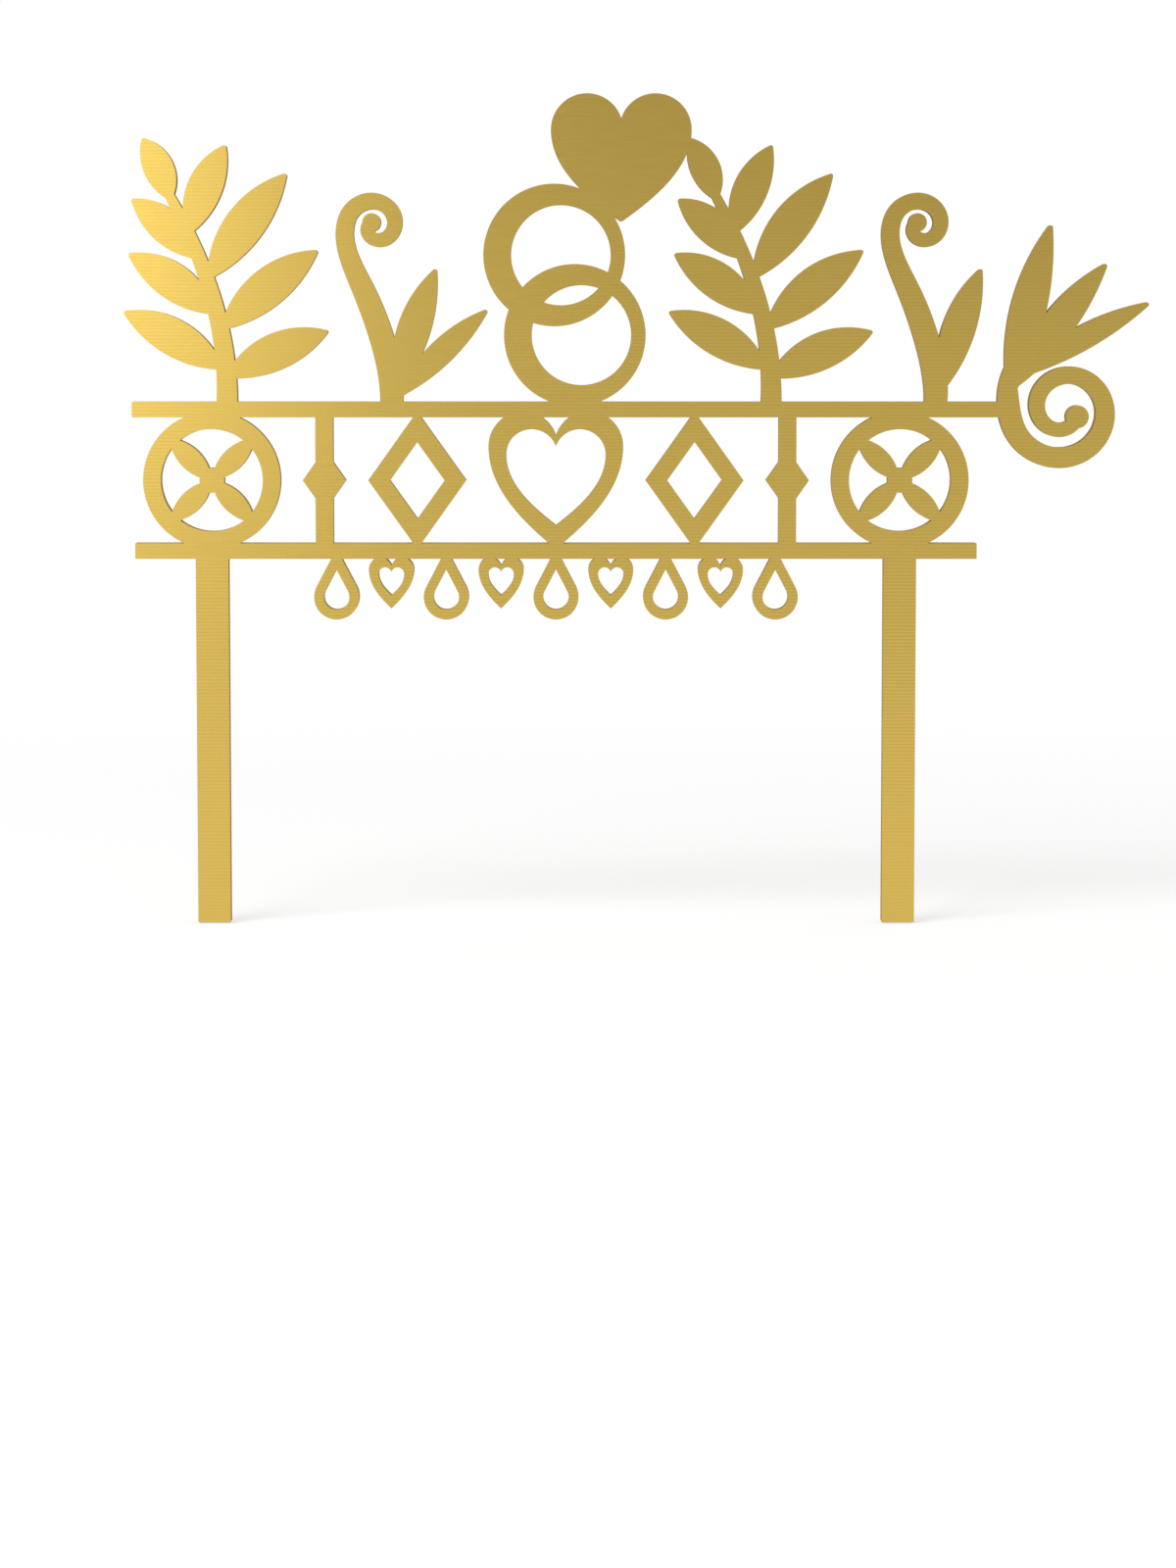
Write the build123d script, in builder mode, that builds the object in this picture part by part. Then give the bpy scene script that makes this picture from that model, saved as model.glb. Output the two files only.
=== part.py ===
"""Flat wedding cake topper, cut from gold-faced acrylic sheet and cemented edge to edge.

Frame: +X to the viewer's right, +Z up, front face towards -Y. The origin lies midway between the tips
of the two stakes, in the middle of the sheet's thickness. All lengths are in millimetres.
Every piece is one outline, drawn in the plane of the sheet as (x, z) and extruded through its thickness.
"""

import os
from math import acos, cos, radians, sin, sqrt

from build123d import *

# The sheet, and the tongues that locate each piece in a rail
sheet_thickness = 3.0
tongue_width = 1.2
stake_tongue_width = 2.4
cement_gap = 0.002

# Stakes and rails
stake_inset = 11.75
stake_width = 5.0
stake_length = 56.0
stake_tip_radius = 0.1
rail_height = 2.4
rail_end_radius = 0.1
rail_margin = 1.3
upper_rail_overhang = 0.36
band_height = 19.2

# Figures between the rails
figure_gap = 3.4
figure_stroke = 2.7
figure_seat = 0.9
petal_count = 4
petal_width = 3.3
rosette_hub_radius = 1.9
post_bead_width = 6.6
post_bead_height = 9.4
lozenge_width = 15.0
frame_heart_width = 20.6

# Pendants under the lower rail
pendant_count = 9
pendant_width = 6.9
pendant_gap = 1.5
pendant_stroke = 1.5
drop_pendant_length = 9.3
heart_pendant_length = 7.6
drop_seat = 1.6
heart_seat = 0.2

# Leaves and stems of the flourishes on the upper rail
leaf_width = 5.9
leaf_tip_radius = 0.35
stem_width = 3.4
flourish_overhang = 1.8
flourish_gap = 0.9

# Leaf sprays
spray_width = 31.9
spray_height = 40.0

# Tendrils that curl in to a bead
tendril_width = 22.3
tendril_height = 32.6
curl_radius = 4.6
curl_eye_radius = 0.8
curl_width = 2.7
curl_tip_width = 1.8
curl_bead_radius = 1.4

# Two linked rings and the solid heart
ring_radius = 10.8
ring_bore_radius = 7.6
ring_bore_shift = 1.0
ring_seat = 0.7
ring_gap = 3.2
heart_width = 21.4
heart_height = 19.4
heart_tip_radius = 0.5

# Scroll at the right-hand end of the upper rail
scroll_gap = 2.2
scroll_radius = 8.4
scroll_eye_radius = 2.3
scroll_width = 3.4
scroll_tip_width = 2.0
scroll_bead_radius = 1.75
scroll_stem_height = 6.4
scroll_leaf_length = 24.0

# Depth of a tongue in the rail that takes it
tongue_depth_share = 0.36

# How far a leaf bows to its upper side, of its width
leaf_bow_share = 0.08

# Heart: lobe radius of its width, an open one's tip of its stroke, and flank handles of half its width
# and of its flank's height
heart_lobe_share = 0.257
heart_tip_share = 1.35
heart_flank_shares = ((1.0, 0.62), (0.58, 0.31))

# Spray: stem stations (x, z, width) and leaves (x, z, angle, length, width), with lengths of its width
spray_foot_share = 0.50
spray_stem_shares = ((0.50, -0.03, 0.95), (0.475, 0.26, 0.80), (0.36, 0.57, 0.62), (0.22, 0.80, 0.40))
spray_leaf_shares = (
    (0.49, 0.09, 24, 0.55, 0.96),
    (0.47, 0.27, 39, 0.61, 1.00),
    (0.41, 0.46, 53, 0.64, 1.02),
    (0.32, 0.63, 67, 0.47, 0.90),
    (0.49, 0.12, 150, 0.56, 0.96),
    (0.45, 0.33, 145, 0.51, 0.95),
    (0.37, 0.54, 138, 0.43, 0.88),
    (0.24, 0.76, 114, 0.33, 0.78),
)

# Tendril: stem stations, leaves, turns of the curl, and the width of a tendril that has one leaf
tendril_foot_share = 0.37
tendril_stem_shares = ((0.37, -0.03, 1.00), (0.33, 0.24, 1.10), (0.17, 0.54, 0.98))
tendril_leaf_shares = ((0.40, 0.03, 72, 0.92, 0.86), (0.40, 0.01, 44, 0.90, 0.66))
curl_turns_share = 1.12
short_tendril_share = 0.70

# Rings: the upper ring's centre from the lower one's, and the heart's tip from the upper one's
ring_link_shares = (-0.29, 1.125)
heart_place_shares = (0.944, 0.465)

# Scroll: turns, and leaves (height on its stem, angle, length, width)
scroll_turns_share = 1.42
scroll_stem_share = 0.4
scroll_leaf_shares = ((0.15, 77, 1.18, 0.92), (0.40, 53, 1.04, 0.84), (0.68, 29, 1.045, 0.64))

# Stations along a curl or scroll
spiral_steps = 16

# Levels up the topper
tongue_depth = tongue_depth_share * rail_height
lower_rail_bottom = stake_length
lower_rail_top = lower_rail_bottom + rail_height
upper_rail_bottom = lower_rail_top + band_height
upper_rail_top = upper_rail_bottom + rail_height
band_middle = (lower_rail_top + upper_rail_bottom) / 2

# The row of figures, each seated a little way into both rails, sets the length of the lower rail
figure_height = band_height + 2 * figure_seat
rosette_radius = figure_height / 2
lozenge_place = (frame_heart_width + lozenge_width) / 2 + figure_gap
post_place = lozenge_place + (lozenge_width + post_bead_width) / 2 + figure_gap
rosette_place = post_place + post_bead_width / 2 + figure_gap + rosette_radius
lower_rail_length = 2 * (rosette_place + rosette_radius + rail_margin)
rail_left = -lower_rail_length / 2

# The row of flourishes sets the length of the upper rail, and the scroll stands clear of both rows
upper_rail_left = rail_left - upper_rail_overhang
left_spray_left = rail_left - flourish_overhang
left_tendril_left = left_spray_left + spray_width + flourish_gap
lower_ring_x = left_tendril_left + tendril_width + ring_gap + ring_radius
upper_ring_x = lower_ring_x + ring_link_shares[0] * ring_radius
right_spray_left = lower_ring_x + ring_radius + ring_gap
right_tendril_left = right_spray_left + spray_width + flourish_gap
flourishes_right = right_tendril_left + short_tendril_share * tendril_width
scroll_left = max(flourishes_right, lower_rail_length / 2) + scroll_gap
scroll_x = scroll_left + scroll_width / 2 + scroll_radius
scroll_z = (upper_rail_bottom + upper_rail_top) / 2

# The rings stand on the upper rail, and the heart on the upper ring
lower_ring_z = upper_rail_top + ring_radius - ring_seat
upper_ring_z = lower_ring_z + ring_link_shares[1] * ring_radius
heart_x = upper_ring_x + heart_place_shares[0] * ring_radius
heart_z = upper_ring_z + heart_place_shares[1] * ring_radius

# Places of the tongues along the rails
stake_places = [rail_left + stake_inset, -rail_left - stake_inset]
figure_places = [side * place for side in (-1, 1) for place in (rosette_place, post_place, lozenge_place)]
frame_lobe_place = frame_heart_width / 2 - heart_lobe_share * frame_heart_width
frame_lobe_places = [-frame_lobe_place, frame_lobe_place]
pendant_lobe_place = pendant_width / 2 - heart_lobe_share * pendant_width
pendant_pitch = pendant_width + pendant_gap
pendant_places = [(index - (pendant_count - 1) / 2) * pendant_pitch for index in range(pendant_count)]
drop_places = pendant_places[0::2]
heart_places = pendant_places[1::2]
heart_tongue_places = [place + side * pendant_lobe_place for place in heart_places for side in (-1, 1)]
spray_lefts = (left_spray_left, right_spray_left)
spray_feet = [left + spray_foot_share * spray_width for left in spray_lefts]
tendril_lefts = (left_tendril_left, right_tendril_left)
tendril_feet = [left + tendril_foot_share * tendril_width for left in tendril_lefts]


def brush_stroke(stations):
    """A stroke with round ends, through stations of (x, z, width)."""
    points = [Vector(x, z) for x, z, width in stations]
    with BuildSketch(Plane.XY) as stroke:
        with BuildLine():
            centre_line = Spline(*points, mode=Mode.PRIVATE)
            left_side = []
            right_side = []
            for point, station in zip(points, stations):
                along = centre_line.tangent_at(point)
                aside = Vector(-along.Y, along.X) * (station[2] / 2)
                left_side.append(point + aside)
                right_side.append(point - aside)
            start_cap = points[0] - centre_line.tangent_at(0) * (stations[0][2] / 2)
            end_cap = points[-1] + centre_line.tangent_at(1) * (stations[-1][2] / 2)
            Spline(*left_side)
            ThreePointArc(left_side[-1], end_cap, right_side[-1])
            Spline(*reversed(right_side))
            ThreePointArc(right_side[0], start_cap, left_side[0])
        make_face()
    return stroke.sketch


def petal_face(length, width):
    """A petal along +X from the origin, pointed at both ends."""
    with BuildSketch(Plane.XY) as outline:
        with BuildLine():
            SagittaArc((0, 0), (length, 0), width / 2)
            SagittaArc((length, 0), (0, 0), width / 2)
        make_face()
    return outline.sketch


def leaf_face(x, z, angle, length, width):
    """A leaf from (x, z) along the given angle, fuller on its upper side, with its tip just rounded."""
    bow_share = leaf_bow_share if angle < 90 else -leaf_bow_share
    with BuildSketch(Plane.XY) as blade:
        with BuildLine():
            SagittaArc((0, 0), (length, 0), width * (0.5 + bow_share))
            SagittaArc((length, 0), (0, 0), width * (0.5 - bow_share))
        make_face()
        fillet(blade.vertices().sort_by(Axis.X)[-1], leaf_tip_radius)
    with BuildSketch(Plane.XY) as outline:
        with Locations((x, z)):
            add(blade.sketch, rotation=angle)
    return outline.sketch


def spiral_stations(x, z, radius, eye_radius, turns, turn_sense, width, tip_width):
    """Stations of a stroke that winds in, from the left of its centre, as far as the eye's radius."""
    stations = []
    for step in range(spiral_steps + 1):
        step_share = step / spiral_steps
        angle = radians(180 + turn_sense * 360 * turns * step_share)
        reach = radius + (eye_radius - radius) * step_share
        stroke = width + (tip_width - width) * step_share
        stations.append((x + reach * cos(angle), z + reach * sin(angle), stroke))
    return stations


def heart_face(width, height):
    """A heart with its tip at the origin: two round lobes and bowed flanks."""
    lobe_radius = heart_lobe_share * width
    lobe_x = width / 2 - lobe_radius
    lobe_z = height - lobe_radius
    notch_z = lobe_z + sqrt(lobe_radius**2 - lobe_x**2)
    handles = [(x_share * width / 2, z_share * lobe_z) for x_share, z_share in heart_flank_shares]
    with BuildSketch(Plane.XY) as outline:
        with BuildLine():
            ThreePointArc((0, notch_z), (lobe_x, height), (width / 2, lobe_z))
            Bezier((width / 2, lobe_z), *handles, (0, 0))
            mirror(about=Plane.YZ)
        make_face()
    return outline.sketch


def solid_heart_face():
    """The solid heart in its place, with its tip just rounded."""
    with BuildSketch(Plane.XY) as outline:
        with Locations((heart_x, heart_z)):
            add(heart_face(heart_width, heart_height))
        fillet(outline.vertices().sort_by(Axis.Y)[0], heart_tip_radius)
    return outline.sketch


def open_heart_face(width, height, stroke):
    """A heart with a smaller heart cut out of it."""
    tip_rise = heart_tip_share * stroke
    with BuildSketch(Plane.XY) as outline:
        add(heart_face(width, height))
        with Locations((0, tip_rise)):
            add(heart_face(width - 2 * stroke, height - stroke - tip_rise), mode=Mode.SUBTRACT)
    return outline.sketch


def drop_face(radius, rise):
    """A drop about the centre of its round end, with its point above."""
    turn = acos(radius / rise)
    side_x = radius * sin(turn)
    side_z = radius * cos(turn)
    with BuildSketch(Plane.XY) as outline:
        with BuildLine():
            Polyline((side_x, side_z), (0, rise), (-side_x, side_z))
            ThreePointArc((-side_x, side_z), (0, -radius), (side_x, side_z))
        make_face()
    return outline.sketch


def lozenge_face(width, height):
    """A lozenge about its middle."""
    with BuildSketch(Plane.XY) as outline:
        Polygon((width / 2, 0), (0, height / 2), (-width / 2, 0), (0, -height / 2), align=None)
    return outline.sketch


def outline_only(face, stroke):
    """The rim of a face, one stroke wide."""
    with BuildSketch(Plane.XY) as rim:
        add(face)
        offset(amount=-stroke, mode=Mode.SUBTRACT)
    return rim.sketch


def rosette_face():
    """A ring with diagonal petals that meet at a round hub."""
    with BuildSketch(Plane.XY) as outline:
        Circle(rosette_radius)
        Circle(rosette_radius - figure_stroke, mode=Mode.SUBTRACT)
        with PolarLocations(0, petal_count, start_angle=180 / petal_count):
            add(petal_face(rosette_radius - figure_stroke / 2, petal_width))
        Circle(rosette_hub_radius)
    return outline.sketch


def post_face():
    """A plain post with a lozenge bead at its middle."""
    with BuildSketch(Plane.XY) as outline:
        Rectangle(figure_stroke, band_height)
        add(lozenge_face(post_bead_width, post_bead_height))
    return outline.sketch


def spray_face(left):
    """A leaning stem with leaves on both sides and one at its tip."""
    with BuildSketch(Plane.XY) as outline:
        add(
            brush_stroke(
                [
                    (left + x * spray_width, upper_rail_top + z * spray_height, width * stem_width)
                    for x, z, width in spray_stem_shares
                ]
            )
        )
        for x, z, angle, length, width in spray_leaf_shares:
            base_x = left + x * spray_width
            base_z = upper_rail_top + z * spray_height
            add(leaf_face(base_x, base_z, angle, length * spray_width, width * leaf_width))
    return outline.sketch


def tendril_face(left, leaf_shares):
    """A stem that curls in to a bead, with leaves at its foot."""
    stem = [
        (left + x * tendril_width, upper_rail_top + z * tendril_height, width * stem_width)
        for x, z, width in tendril_stem_shares
    ]
    curl_x = left + curl_radius + curl_width / 2
    curl_z = upper_rail_top + tendril_height - curl_radius - curl_width / 2
    stem += spiral_stations(
        curl_x, curl_z, curl_radius, curl_eye_radius, curl_turns_share, -1, curl_width, curl_tip_width
    )
    with BuildSketch(Plane.XY) as outline:
        add(brush_stroke(stem))
        with Locations(stem[-1][:2]):
            Circle(curl_bead_radius)
        for x, z, angle, length, width in leaf_shares:
            base_x = left + x * tendril_width
            base_z = upper_rail_top + z * tendril_height
            add(leaf_face(base_x, base_z, angle, length * tendril_width, width * leaf_width))
    return outline.sketch


def ring_face(x, z):
    """A ring that is thicker on its left side."""
    with BuildSketch(Plane.XY) as outline:
        with Locations((x, z)):
            Circle(ring_radius)
        with Locations((x + ring_bore_shift, z)):
            Circle(ring_bore_radius, mode=Mode.SUBTRACT)
    return outline.sketch


def lower_ring_face():
    """The lower ring, open at its left-hand crossing, where the upper ring passes through it."""
    with BuildSketch(Plane.XY) as passing_arc:
        add(ring_face(upper_ring_x, upper_ring_z))
        with Locations(((lower_ring_x + upper_ring_x) / 2, upper_ring_z)):
            Rectangle(
                2 * ring_radius, 2 * ring_radius, align=(Align.MIN, Align.CENTER), mode=Mode.SUBTRACT
            )
    with BuildSketch(Plane.XY) as outline:
        add(ring_face(lower_ring_x, lower_ring_z))
        add(passing_arc.sketch, mode=Mode.SUBTRACT)
    return outline.sketch


def scroll_face():
    """A stem that winds down and in to a bead, with leaves at its top."""
    stem_x = scroll_left + scroll_width / 2
    stem = [(stem_x, scroll_z + scroll_stem_height, scroll_stem_share * scroll_width)]
    stem += spiral_stations(
        scroll_x,
        scroll_z,
        scroll_radius,
        scroll_eye_radius,
        scroll_turns_share,
        1,
        scroll_width,
        scroll_tip_width,
    )
    with BuildSketch(Plane.XY) as outline:
        add(brush_stroke(stem))
        with Locations(stem[-1][:2]):
            Circle(scroll_bead_radius)
        for height, angle, length, width in scroll_leaf_shares:
            base_z = scroll_z + height * scroll_stem_height
            add(leaf_face(stem_x, base_z, angle, length * scroll_leaf_length, width * leaf_width))
    return outline.sketch


def draw_tongues(places, level, align, width=tongue_width, clearance=0, mode=Mode.ADD):
    """Draw tongues across a rail's edge in the open sketch or, with a clearance, cut their notches."""
    with Locations(*[(place, level) for place in places]):
        Rectangle(
            width + 2 * clearance, tongue_depth + clearance, align=(Align.CENTER, align), mode=mode
        )


def cut_notches(places, level, align, width=tongue_width):
    """Cut the notches for tongues in the open sketch."""
    draw_tongues(places, level, align, width, cement_gap, Mode.SUBTRACT)


def stand_on_upper_rail(outline, foot):
    """An outline cut off level with the upper rail's top, with a tongue at its foot."""
    with BuildSketch(Plane.XY) as standing:
        add(outline)
        with Locations((foot, upper_rail_top)):
            Rectangle(
                2 * spray_width, spray_height, align=(Align.CENTER, Align.MAX), mode=Mode.SUBTRACT
            )
        draw_tongues([foot], upper_rail_top, Align.MAX)
    return standing.sketch


def between_rails(outline, place, top_tongues, bottom_tongues):
    """An outline about its middle, placed in the band and cut off at both rails, with its tongues."""
    with BuildSketch(Plane.XY) as figure:
        with Locations((place, band_middle)):
            add(outline)
            Rectangle(lower_rail_length, band_height, mode=Mode.INTERSECT)
        draw_tongues(top_tongues, upper_rail_bottom, Align.MIN)
        draw_tongues(bottom_tongues, lower_rail_top, Align.MAX)
    return figure.sketch


def under_lower_rail(outline, place, length, tongues):
    """An outline about its lowest point, hung under the lower rail, cut off there and given tongues."""
    with BuildSketch(Plane.XY) as pendant:
        with Locations((place, lower_rail_bottom - length)):
            add(outline)
        with Locations((place, lower_rail_bottom)):
            Rectangle(pendant_width, length, align=(Align.CENTER, Align.MAX), mode=Mode.INTERSECT)
        draw_tongues(tongues, lower_rail_bottom, Align.MIN)
    return pendant.sketch


def hand_in(piece, name):
    """Label a finished piece and write it out."""
    piece.part.label = name
    export_step(piece.part, f"parts/{name}.step")


os.makedirs("parts", exist_ok=True)

# Stakes, each with a tongue up into the lower rail
for name, place in zip(("left_stake", "right_stake"), stake_places):
    with BuildPart() as stake:
        with BuildSketch(Plane.XZ) as stake_profile:
            with Locations((place, 0)):
                Rectangle(stake_width, stake_length, align=(Align.CENTER, Align.MIN))
            fillet(stake_profile.vertices().group_by(Axis.Y)[0], stake_tip_radius)
            draw_tongues([place], lower_rail_bottom, Align.MIN, stake_tongue_width)
        extrude(amount=sheet_thickness / 2, both=True)
    hand_in(stake, name)

# Lower rail, notched for the stakes and pendants below and the figures above
with BuildPart() as lower_rail:
    with BuildSketch(Plane.XZ):
        with Locations((0, (lower_rail_bottom + lower_rail_top) / 2)):
            RectangleRounded(lower_rail_length, rail_height, rail_end_radius)
        cut_notches(stake_places, lower_rail_bottom, Align.MIN, stake_tongue_width)
        cut_notches(drop_places + heart_tongue_places, lower_rail_bottom, Align.MIN)
        cut_notches(figure_places + [0], lower_rail_top, Align.MAX)
    extrude(amount=sheet_thickness / 2, both=True)
hand_in(lower_rail, "lower_rail")

# Upper rail, notched for the figures below and the flourishes above, with a tongue into the scroll
with BuildPart() as upper_rail:
    with BuildSketch(Plane.XZ) as upper_rail_profile:
        with Locations((upper_rail_left, upper_rail_bottom)):
            Rectangle(scroll_x - scroll_radius - upper_rail_left, rail_height, align=(Align.MIN, Align.MIN))
        fillet(upper_rail_profile.vertices().group_by(Axis.X)[0], rail_end_radius)
        add(scroll_face(), mode=Mode.SUBTRACT)
        with Locations((scroll_left, scroll_z)):
            Rectangle(2 * tongue_depth, tongue_width)
        cut_notches(figure_places + frame_lobe_places, upper_rail_bottom, Align.MIN)
        cut_notches(spray_feet + tendril_feet + [lower_ring_x], upper_rail_top, Align.MAX)
    extrude(amount=sheet_thickness / 2, both=True)
hand_in(upper_rail, "upper_rail")

# Scroll, notched for the upper rail's tongue
with BuildPart() as end_scroll:
    with BuildSketch(Plane.XZ):
        add(scroll_face())
        with Locations((scroll_left, scroll_z)):
            Rectangle(
                2 * (tongue_depth + cement_gap), tongue_width + 2 * cement_gap, mode=Mode.SUBTRACT
            )
    extrude(amount=sheet_thickness / 2, both=True)
hand_in(end_scroll, "end_scroll")

# Solid heart
with BuildPart() as heart:
    with BuildSketch(Plane.XZ):
        add(solid_heart_face())
    extrude(amount=sheet_thickness / 2, both=True)
hand_in(heart, "heart")

# Linked rings, of which the lower one stands on the upper rail and the upper one carries the heart
with BuildPart() as lower_ring:
    with BuildSketch(Plane.XZ):
        add(stand_on_upper_rail(lower_ring_face(), lower_ring_x))
    extrude(amount=sheet_thickness / 2, both=True)
hand_in(lower_ring, "lower_ring")

with BuildPart() as upper_ring:
    with BuildSketch(Plane.XZ):
        add(ring_face(upper_ring_x, upper_ring_z))
        add([lower_ring_face(), solid_heart_face()], mode=Mode.SUBTRACT)
    extrude(amount=sheet_thickness / 2, both=True)
hand_in(upper_ring, "upper_ring")

# Leaf sprays, of which the right-hand one is cut to fit the heart
for name, left, foot in (
    ("left_leaf_spray", spray_lefts[0], spray_feet[0]),
    ("right_leaf_spray", spray_lefts[1], spray_feet[1]),
):
    with BuildPart() as leaf_spray:
        with BuildSketch(Plane.XZ):
            add(stand_on_upper_rail(spray_face(left), foot))
            add(solid_heart_face(), mode=Mode.SUBTRACT)
        extrude(amount=sheet_thickness / 2, both=True)
    hand_in(leaf_spray, name)

# Tendrils, of which the right-hand one has a single leaf
for name, left, foot, leaf_shares in (
    ("left_tendril", tendril_lefts[0], tendril_feet[0], tendril_leaf_shares),
    ("right_tendril", tendril_lefts[1], tendril_feet[1], tendril_leaf_shares[:1]),
):
    with BuildPart() as tendril:
        with BuildSketch(Plane.XZ):
            add(stand_on_upper_rail(tendril_face(left, leaf_shares), foot))
        extrude(amount=sheet_thickness / 2, both=True)
    hand_in(tendril, name)

# Pairs of figures between the rails
open_lozenge = outline_only(lozenge_face(lozenge_width, figure_height), figure_stroke)
for name, outline, place in (
    ("left_rosette", rosette_face(), -rosette_place),
    ("left_post", post_face(), -post_place),
    ("left_lozenge", open_lozenge, -lozenge_place),
    ("right_lozenge", open_lozenge, lozenge_place),
    ("right_post", post_face(), post_place),
    ("right_rosette", rosette_face(), rosette_place),
):
    with BuildPart() as figure:
        with BuildSketch(Plane.XZ):
            add(between_rails(outline, place, [place], [place]))
        extrude(amount=sheet_thickness / 2, both=True)
    hand_in(figure, name)

# Heart outline in the middle of the band, held at both lobes and at its tip
with BuildSketch(Plane.XY) as open_heart:
    with Locations((0, -figure_height / 2)):
        add(open_heart_face(frame_heart_width, figure_height, figure_stroke))

with BuildPart() as heart_frame:
    with BuildSketch(Plane.XZ):
        add(between_rails(open_heart.sketch, 0, frame_lobe_places, [0]))
    extrude(amount=sheet_thickness / 2, both=True)
hand_in(heart_frame, "heart_frame")

# Drop pendants, held at their points
drop_radius = pendant_width / 2
drop_rise = drop_pendant_length + drop_seat - drop_radius
with BuildSketch(Plane.XY) as open_drop:
    with Locations((0, drop_radius)):
        add(outline_only(drop_face(drop_radius, drop_rise), pendant_stroke))

for number, place in enumerate(drop_places, 1):
    with BuildPart() as drop_pendant:
        with BuildSketch(Plane.XZ):
            add(under_lower_rail(open_drop.sketch, place, drop_pendant_length, [place]))
        extrude(amount=sheet_thickness / 2, both=True)
    hand_in(drop_pendant, f"drop_pendant_{number}")

# Heart pendants, held at both lobes
small_heart = open_heart_face(pendant_width, heart_pendant_length + heart_seat, pendant_stroke)
for number, place in enumerate(heart_places, 1):
    lobes = [place - pendant_lobe_place, place + pendant_lobe_place]
    with BuildPart() as heart_pendant:
        with BuildSketch(Plane.XZ):
            add(under_lower_rail(small_heart, place, heart_pendant_length, lobes))
        extrude(amount=sheet_thickness / 2, both=True)
    hand_in(heart_pendant, f"heart_pendant_{number}")
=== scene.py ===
"""Gold-faced acrylic cake topper: its finish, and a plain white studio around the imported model.

Lengths are in metres, in the part's own frame: +X to the viewer's right, +Z up, front towards -Y.
"""

from collections import namedtuple
from math import pi, radians

import bpy
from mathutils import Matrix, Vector


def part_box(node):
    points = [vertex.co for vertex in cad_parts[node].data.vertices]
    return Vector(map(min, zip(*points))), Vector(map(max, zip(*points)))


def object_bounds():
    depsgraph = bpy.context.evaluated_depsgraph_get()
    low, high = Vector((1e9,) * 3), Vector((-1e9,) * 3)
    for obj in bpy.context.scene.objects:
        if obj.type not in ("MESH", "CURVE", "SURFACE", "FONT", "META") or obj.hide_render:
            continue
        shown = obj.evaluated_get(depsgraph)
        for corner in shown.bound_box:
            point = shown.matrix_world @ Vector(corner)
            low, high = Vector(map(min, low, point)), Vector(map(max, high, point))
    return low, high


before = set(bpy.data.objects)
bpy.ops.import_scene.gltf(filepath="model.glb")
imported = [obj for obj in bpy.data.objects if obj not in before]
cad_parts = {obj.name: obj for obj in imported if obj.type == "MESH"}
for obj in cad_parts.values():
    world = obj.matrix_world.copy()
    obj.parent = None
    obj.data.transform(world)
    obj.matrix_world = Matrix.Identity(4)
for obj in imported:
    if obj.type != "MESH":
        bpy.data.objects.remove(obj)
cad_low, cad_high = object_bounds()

# Brushed gold face: a foil with fine wavy ribs along X, finer streaks in the same direction, and clouds;
# the ribs' bands in the colour are painted sheen of their slopes, the streaks and clouds the foil's own
# tone
gold_dark = (0.612, 0.428, 0.094, 1.0)
gold_light = (0.718, 0.503, 0.111, 1.0)
rib_sheen_share = 0.72
streak_share = 0.14
cloud_share = 0.14
gold_metallic = 1.0
gold_roughness_low = 0.17
gold_roughness_high = 0.23
brush_anisotropy = 0.45
rib_pitch = 0.00052
rib_height = 0.0000032
rib_run = 0.0025
rib_waver = 1.1
rib_detail = 2.0
rib_detail_scale = 1.2
rib_middle = 0.5
streak_pitch = 0.00012
streak_run = 0.0030
streak_height = 0.0000006
cloud_size = 0.022

# The ribs are weaker along a wide arc through the heart and towards the stakes' lower ends: less painted
# sheen in the colour there, and a lower bump
arc_centre = Vector((0.0456, 0.0, 0.0145))
arc_left_half_width = 0.0195
arc_right_half_width = 0.0445
arc_rib_share = 0.14
full_rib_share = 0.76
stake_end_rib_share = 0.36
stake_rib_fade_height = 0.034

# Cut edge: amber acrylic with a soft sheen, and fine marks of the cutting beam through the thickness
amber_dark = (0.279, 0.172, 0.037, 1.0)
amber_light = (0.331, 0.206, 0.045, 1.0)
edge_metallic = 0.35
edge_roughness_low = 0.26
edge_roughness_high = 0.38
beam_mark_pitch = 0.00022
beam_mark_run = 0.0040
beam_mark_height = 0.0000024

# Back: a satin gold lacquer with fine metal flakes, a soft mottle and a little orange peel
lacquer_dark = (0.370, 0.246, 0.068, 1.0)
lacquer_light = (0.570, 0.397, 0.124, 1.0)
lacquer_metallic = 0.55
lacquer_roughness_low = 0.36
lacquer_roughness_high = 0.46
flake_size = 0.00042
flake_share = 0.60
mottle_share = 0.40
peel_size = 0.0011
peel_detail = 1.0
peel_height = 0.000012

# Acrylic's refractive index, no clear gloss over any finish, and a warm tint at glancing angles
acrylic_ior = 1.49
acrylic_gloss = 0.0
glancing_tint = (1.0, 0.82, 0.50, 1.0)

# Noise: its usual detail, and the range that most of its values lie in
grain_detail = 2.0
noise_low = 0.3
noise_high = 0.7

# How far a face's normal leans along Y before the face counts as front or back
facing_limit = 0.5

# Pitch of Blender's wave bands at a scale of 1
wave_pitch = 2 * pi / 20

# Studio
white = (1.0, 1.0, 1.0, 1.0)
background_light = 1.0
floor_drop = 0.0002
floor_half_side = 4.0
floor_colour = (0.95, 0.95, 0.945, 1.0)
floor_shadow_share = 0.42
floor_fade_start = 0.12
floor_fade_end = 0.42
world_grey = 0.70
key_place = Vector((-0.55, -0.75, 0.85))
key_side = 0.70
key_power = 10.0

# Graded card in front of the face, which only reflections show: its light at places along X, left to right
card_y = -0.5
card_half_width = 0.9
card_low = -0.02
card_high = 1.2
card_stops = (
    (-0.160, 2.60),
    (-0.110, 2.42),
    (-0.078, 1.43),
    (-0.045, 0.87),
    (-0.003, 0.765),
    (0.038, 0.75),
    (0.097, 0.71),
    (0.200, 0.68),
)

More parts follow.
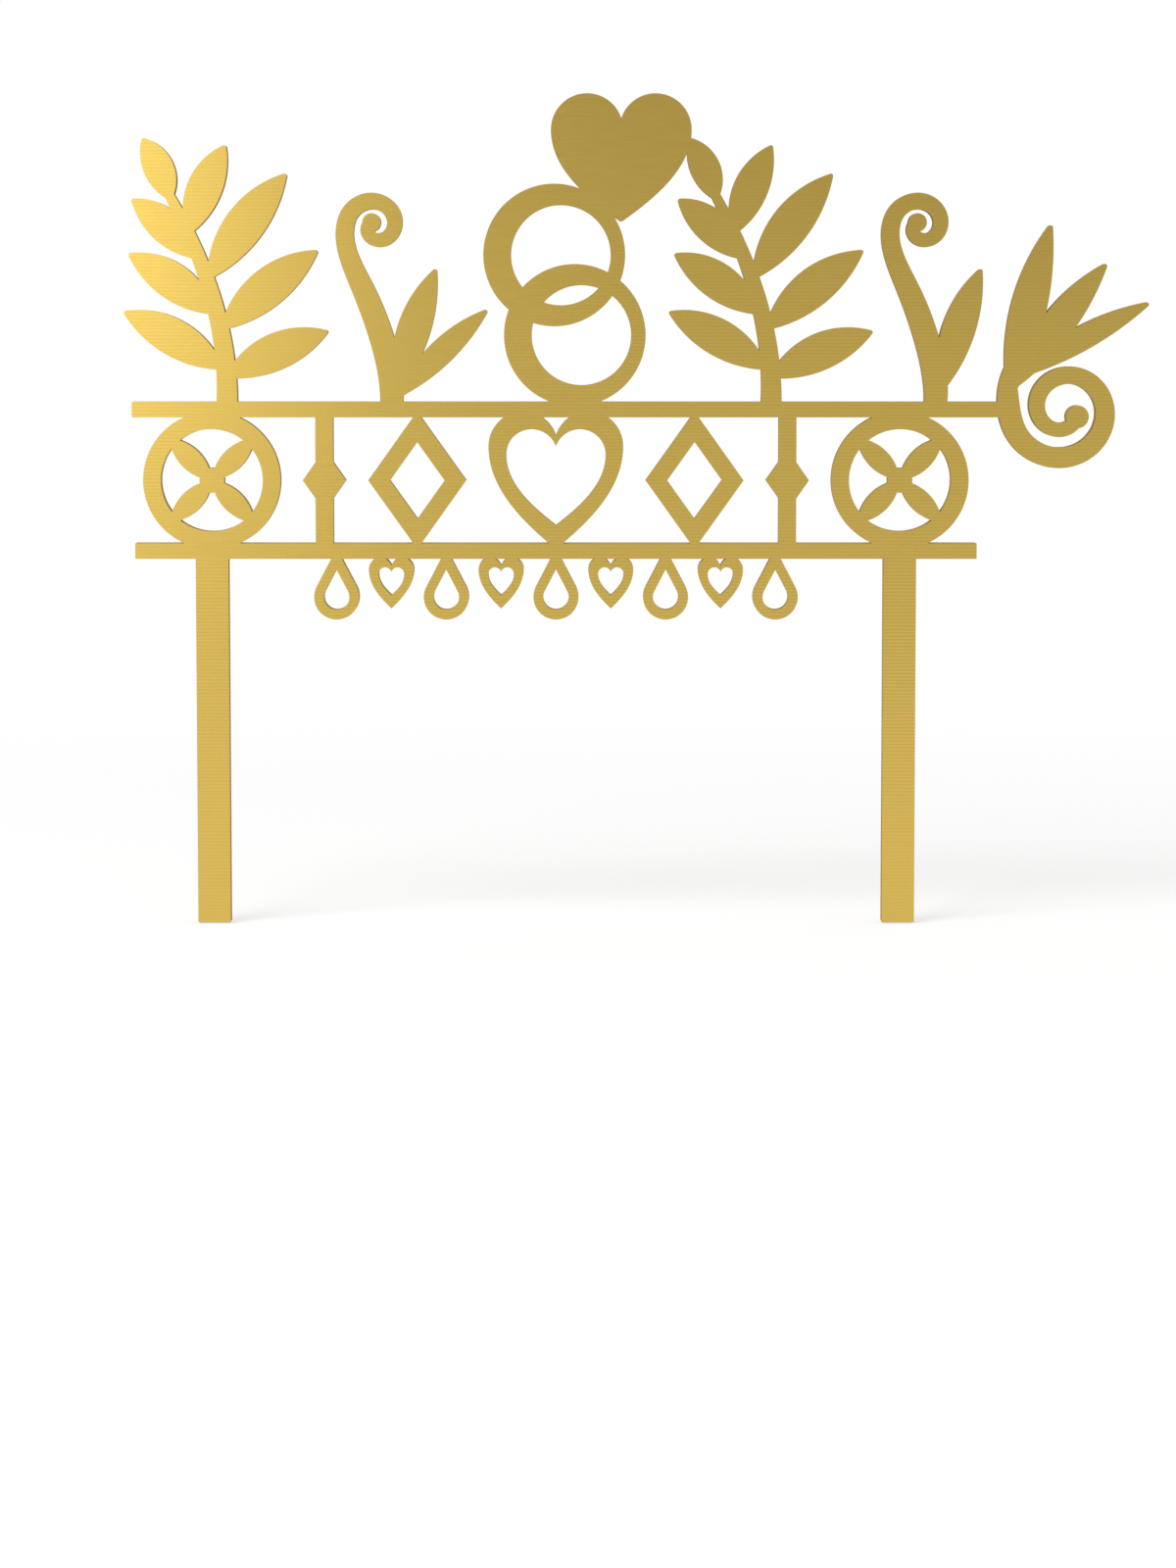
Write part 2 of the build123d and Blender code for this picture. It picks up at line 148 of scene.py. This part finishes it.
# The card's light evens out towards the floor, and dims towards the top
card_floor_light = 0.75
card_floor_share = 0.90
card_fade_low = 0.026
card_fade_high = 0.130
card_top_share = 0.70
card_top_low = 0.085
card_top_high = 0.135

# Camera, which looks straight down until it is turned up to the level
camera_place = Vector((0.00491, -0.7515, 0.09229))
camera_level_turn = 90
camera_tilt_down = 5.4
camera_lens = 112.5

# What one kind of face gives to the sheet's shader
Finish = namedtuple("Finish", "colour metallic roughness relief")

# A Mix node's sockets for two numbers or two colours: first, second and result
mix_sockets = {"FLOAT": (2, 3, 0), "RGBA": (6, 7, 2)}


def new_node(tree, kind, inputs=None, **settings):
    """Add a shader node, with its settings, and its inputs as values or as sockets to link."""
    added = tree.nodes.new("ShaderNode" + kind)
    for name, value in settings.items():
        setattr(added, name, value)
    for key, value in (inputs or {}).items():
        if isinstance(value, bpy.types.NodeSocket):
            tree.links.new(value, added.inputs[key])
        else:
            added.inputs[key].default_value = value
    return added


def calculate(tree, operation, first, second):
    """The result of one sum on two values or sockets."""
    return new_node(tree, "Math", {0: first, 1: second}, operation=operation).outputs["Value"]


def rescale(tree, value, low, high, from_low=0.0, from_high=1.0, smooth=False):
    """A value carried from one range to another, and held inside it."""
    inputs = {"Value": value, "From Min": from_low, "From Max": from_high, "To Min": low, "To Max": high}
    interpolation = "SMOOTHSTEP" if smooth else "LINEAR"
    return new_node(tree, "MapRange", inputs, interpolation_type=interpolation).outputs["Result"]


def rescale_noise(tree, noise, low, high):
    """Noise carried from its usual range to another, and held inside it."""
    return rescale(tree, noise, low, high, noise_low, noise_high)


def mix(tree, kind, share, first, second):
    """Blend two values of the given kind."""
    first_socket, second_socket, result_socket = mix_sockets[kind]
    inputs = {0: share, first_socket: first, second_socket: second}
    return new_node(tree, "Mix", inputs, data_type=kind).outputs[result_socket]


def mix_numbers(tree, share, first, second):
    """Blend two numbers."""
    return mix(tree, "FLOAT", share, first, second)


def mix_colours(tree, share, first, second):
    """Blend two colours."""
    return mix(tree, "RGBA", share, first, second)


def add_shares(tree, terms):
    """The sum of sockets, each times its own share."""
    total = 0.0
    for value, share in terms:
        total = calculate(tree, "ADD", total, calculate(tree, "MULTIPLY", value, share))
    return total


def grain(tree, place, sizes, detail=grain_detail):
    """Noise whose spots have the given sizes along X, Y and Z."""
    scale = tuple(1 / size for size in sizes)
    mapped = new_node(tree, "Mapping", {"Vector": place, "Scale": scale}).outputs["Vector"]
    return new_node(tree, "TexNoise", {"Vector": mapped, "Scale": 1.0, "Detail": detail}).outputs["Fac"]


def even_grain(tree, place, size, detail=grain_detail):
    """Noise whose spots have the same size every way."""
    return grain(tree, place, (size, size, size), detail)


def clear_tree(owner):
    """Switch a material's or world's nodes on, and empty them."""
    owner.use_nodes = True
    owner.node_tree.nodes.clear()
    return owner.node_tree


def rib_strength(tree, place):
    """How clear the ribs are, in their painted sheen and their bump: weak along the arc through the heart,
    and at the stakes' lower ends.
    """
    heart_low, heart_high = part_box("heart")
    arc_radius = ((heart_low + heart_high) / 2 - arc_centre).length
    from_centre = new_node(tree, "VectorMath", {0: place, 1: arc_centre}, operation="DISTANCE")
    past_arc = calculate(tree, "SUBTRACT", from_centre.outputs["Value"], arc_radius)
    from_arc = calculate(tree, "ABSOLUTE", past_arc, 0.0)

    spot = new_node(tree, "SeparateXYZ", {"Vector": place}).outputs
    left_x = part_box("left_stake")[0].x
    right_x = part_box("right_stake")[1].x
    half_width = rescale(tree, spot["X"], arc_left_half_width, arc_right_half_width, left_x, right_x)
    arc_share = calculate(tree, "DIVIDE", from_arc, half_width)
    upper_strength = rescale(tree, arc_share, arc_rib_share, full_rib_share, smooth=True)

    height = spot["Z"]
    stake_strength = rescale(tree, height, stake_end_rib_share, 1.0, 0.0, stake_rib_fade_height)
    is_stake = calculate(tree, "LESS_THAN", height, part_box("lower_rail")[0].z)
    return mix_numbers(tree, is_stake, upper_strength, stake_strength)


def brushed_gold(tree, place, clouds):
    """The front's finish, with brushing that runs on from piece to piece."""
    stretched = new_node(tree, "Mapping", {"Vector": place, "Scale": (rib_pitch / rib_run, 1, 1)})
    rib_inputs = {
        "Vector": stretched.outputs["Vector"],
        "Scale": wave_pitch / rib_pitch,
        "Distortion": rib_waver,
        "Detail": rib_detail,
        "Detail Scale": rib_detail_scale,
    }
    full_ribs = new_node(tree, "TexWave", rib_inputs, bands_direction="Z").outputs["Fac"]
    ribs = mix_numbers(tree, rib_strength(tree, place), rib_middle, full_ribs)
    streaks = grain(tree, place, (streak_run, streak_run, streak_pitch))
    # Painted sheen: the ribs' bands in the colour stand for light on their slopes; the streaks and clouds
    # are the foil's own tone
    grain_and_sheen_share = add_shares(tree, ((ribs, rib_sheen_share), (streaks, streak_share), (clouds, cloud_share)))
    return Finish(
        colour=mix_colours(tree, grain_and_sheen_share, gold_dark, gold_light),
        metallic=gold_metallic,
        roughness=rescale_noise(tree, streaks, gold_roughness_low, gold_roughness_high),
        relief=add_shares(tree, ((ribs, rib_height), (streaks, streak_height))),
    )


def cut_edge(tree, place):
    """The finish of the cut edges, with marks that run through the thickness."""
    marks = grain(tree, place, (beam_mark_pitch, beam_mark_run, beam_mark_pitch))
    return Finish(
        colour=mix_colours(tree, rescale_noise(tree, marks, 0.0, 1.0), amber_dark, amber_light),
        metallic=edge_metallic,
        roughness=rescale_noise(tree, marks, edge_roughness_low, edge_roughness_high),
        relief=calculate(tree, "MULTIPLY", marks, beam_mark_height),
    )


def satin_lacquer(tree, place, clouds):
    """The back's finish."""
    flakes = even_grain(tree, place, flake_size)
    peel = even_grain(tree, place, peel_size, peel_detail)
    shade = add_shares(tree, ((flakes, flake_share), (clouds, mottle_share)))
    return Finish(
        colour=mix_colours(tree, rescale_noise(tree, shade, 0.0, 1.0), lacquer_dark, lacquer_light),
        metallic=lacquer_metallic,
        roughness=rescale_noise(tree, shade, lacquer_roughness_low, lacquer_roughness_high),
        relief=calculate(tree, "MULTIPLY", peel, peel_height),
    )


def sheet_material():
    """The sheet's finish: brushed gold in front, amber at the cut edges, satin lacquer behind."""
    material = bpy.data.materials.new("gold_faced_acrylic")
    tree = clear_tree(material)
    coordinates = new_node(tree, "TexCoord")
    place = coordinates.outputs["Object"]
    clouds = even_grain(tree, place, cloud_size)
    front = brushed_gold(tree, place, clouds)
    edge = cut_edge(tree, place)
    back = satin_lacquer(tree, place, clouds)

    facing = new_node(tree, "SeparateXYZ", {"Vector": coordinates.outputs["Normal"]}).outputs["Y"]
    is_front = calculate(tree, "LESS_THAN", facing, -facing_limit)
    is_back = calculate(tree, "GREATER_THAN", facing, facing_limit)

    def by_face(mix_values, front_value, edge_value, back_value):
        """Take the value of the face that is shaded."""
        not_back = mix_values(tree, is_front, edge_value, front_value)
        return mix_values(tree, is_back, not_back, back_value)

    # Reliefs are heights in metres, so the bump takes them at full size
    relief = by_face(mix_numbers, front.relief, edge.relief, back.relief)
    bump = new_node(tree, "Bump", {"Height": relief, "Distance": 1.0, "Strength": 1.0})
    tangent = new_node(tree, "Tangent", direction_type="RADIAL", axis="X")
    shader = new_node(
        tree,
        "BsdfPrincipled",
        {
            "Base Color": by_face(mix_colours, front.colour, edge.colour, back.colour),
            "Metallic": by_face(mix_numbers, front.metallic, edge.metallic, back.metallic),
            "Roughness": by_face(mix_numbers, front.roughness, edge.roughness, back.roughness),
            "IOR": acrylic_ior,
            "Specular IOR Level": acrylic_gloss,
            "Specular Tint": glancing_tint,
            "Anisotropic": brush_anisotropy,
            "Normal": bump.outputs["Normal"],
            "Tangent": tangent.outputs["Tangent"],
        },
    )
    new_node(tree, "OutputMaterial", {"Surface": shader.outputs["BSDF"]})
    return material


def background_rays(tree):
    """1 for rays that show the background: straight from the camera, reflected or let through."""
    rays = new_node(tree, "LightPath").outputs
    shown = calculate(tree, "MAXIMUM", rays["Is Camera Ray"], rays["Is Glossy Ray"])
    return calculate(tree, "MAXIMUM", shown, rays["Is Transmission Ray"])


def floor_material():
    """White floor that keeps a soft shadow near the topper and runs out into the white background."""
    material = bpy.data.materials.new("studio_floor")
    tree = clear_tree(material)
    place = new_node(tree, "TexCoord").outputs["Object"]
    distance = new_node(tree, "VectorMath", {0: place}, operation="LENGTH").outputs["Value"]
    white_share = rescale(
        tree, distance, 1 - floor_shadow_share, 1.0, floor_fade_start, floor_fade_end, smooth=True
    )
    share = calculate(tree, "MULTIPLY", background_rays(tree), white_share)
    lit = new_node(tree, "BsdfDiffuse", {"Color": floor_colour}).outputs["BSDF"]
    glow = new_node(tree, "Emission", {"Color": white, "Strength": background_light}).outputs["Emission"]
    surface = new_node(tree, "MixShader", {0: share, 1: lit, 2: glow}).outputs["Shader"]
    new_node(tree, "OutputMaterial", {"Surface": surface})
    return material


def card_ramp(tree, x):
    """The card's light along X, eased from stop to stop."""
    first_x = card_stops[0][0]
    last_x = card_stops[-1][0]
    ramp = new_node(tree, "ValToRGB", {"Fac": rescale(tree, x, 0.0, 1.0, first_x, last_x)})
    ramp.color_ramp.interpolation = "EASE"
    elements = ramp.color_ramp.elements
    for stop_x, light in card_stops[1:-1]:
        elements.new((stop_x - first_x) / (last_x - first_x))
    for element, (stop_x, light) in zip(elements, card_stops):
        element.color = (light, light, light, 1.0)
    return ramp.outputs["Color"]


def card_material():
    """The card's light: it falls off to the right and towards the top, and evens out towards the floor."""
    material = bpy.data.materials.new("graded_card")
    tree = clear_tree(material)
    place = new_node(tree, "TexCoord").outputs["Object"]
    spot = new_node(tree, "SeparateXYZ", {"Vector": place}).outputs
    down = rescale(tree, spot["Z"], card_floor_share, 0.0, card_fade_low, card_fade_high, smooth=True)
    up = rescale(tree, spot["Z"], 1.0, card_top_share, card_top_low, card_top_high, smooth=True)
    dimmed = calculate(tree, "MULTIPLY", card_ramp(tree, spot["X"]), up)
    light = mix_numbers(tree, down, dimmed, card_floor_light)
    emission = new_node(tree, "Emission", {"Color": white, "Strength": light})
    new_node(tree, "OutputMaterial", {"Surface": emission.outputs["Emission"]})
    return material


def add_plane(name, corners, material):
    """A flat stage piece with the given corners."""
    mesh = bpy.data.meshes.new(name)
    mesh.from_pydata(corners, [], [tuple(range(len(corners)))])
    mesh.materials.append(material)
    plane = bpy.data.objects.new(name, mesh)
    bpy.context.scene.collection.objects.link(plane)
    return plane


# One finish for every piece, since the topper is cut from one sheet
sheet = sheet_material()
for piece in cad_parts.values():
    for slot in piece.material_slots:
        slot.material = sheet

# Floor, just under the stakes
floor_z = cad_low.z - floor_drop
floor_corners = [
    (-floor_half_side, -floor_half_side, floor_z),
    (floor_half_side, -floor_half_side, floor_z),
    (floor_half_side, floor_half_side, floor_z),
    (-floor_half_side, floor_half_side, floor_z),
]
add_plane("floor", floor_corners, floor_material())

# Graded card, hidden from everything but reflections
card_corners = [
    (-card_half_width, card_y, card_low),
    (card_half_width, card_y, card_low),
    (card_half_width, card_y, card_high),
    (-card_half_width, card_y, card_high),
]
card = add_plane("graded_card", card_corners, card_material())
card.visible_camera = False
card.visible_diffuse = False
card.visible_transmission = False
card.visible_shadow = False

# White background, and an even grey light from all round, which needs no map of its bright parts
world = bpy.data.worlds.new("white_studio")
bpy.context.scene.world = world
world.cycles.sampling_method = "NONE"
world_tree = clear_tree(world)
world_light = mix_numbers(world_tree, background_rays(world_tree), world_grey, background_light)
backdrop = new_node(world_tree, "Background", {"Color": white, "Strength": world_light})
new_node(world_tree, "OutputWorld", {"Surface": backdrop.outputs["Background"]})

# Soft key lamp, up and to the left
key_light = bpy.data.lights.new("key", "AREA")
key_light.shape = "SQUARE"
key_light.size = key_side
key_light.energy = key_power
key = bpy.data.objects.new("key", key_light)
key.location = key_place
key.rotation_mode = "QUATERNION"
key.rotation_quaternion = ((cad_low + cad_high) / 2 - key_place).to_track_quat("-Z", "Y")
key.visible_camera = False
bpy.context.scene.collection.objects.link(key)

# Camera at the photograph's viewing angle
camera_data = bpy.data.cameras.new("camera")
camera_data.lens = camera_lens
camera = bpy.data.objects.new("camera", camera_data)
camera.location = camera_place
camera.rotation_euler = (radians(camera_level_turn - camera_tilt_down), 0, 0)
bpy.context.scene.collection.objects.link(camera)
bpy.context.scene.camera = camera

bpy.context.scene.view_settings.view_transform = "Standard"
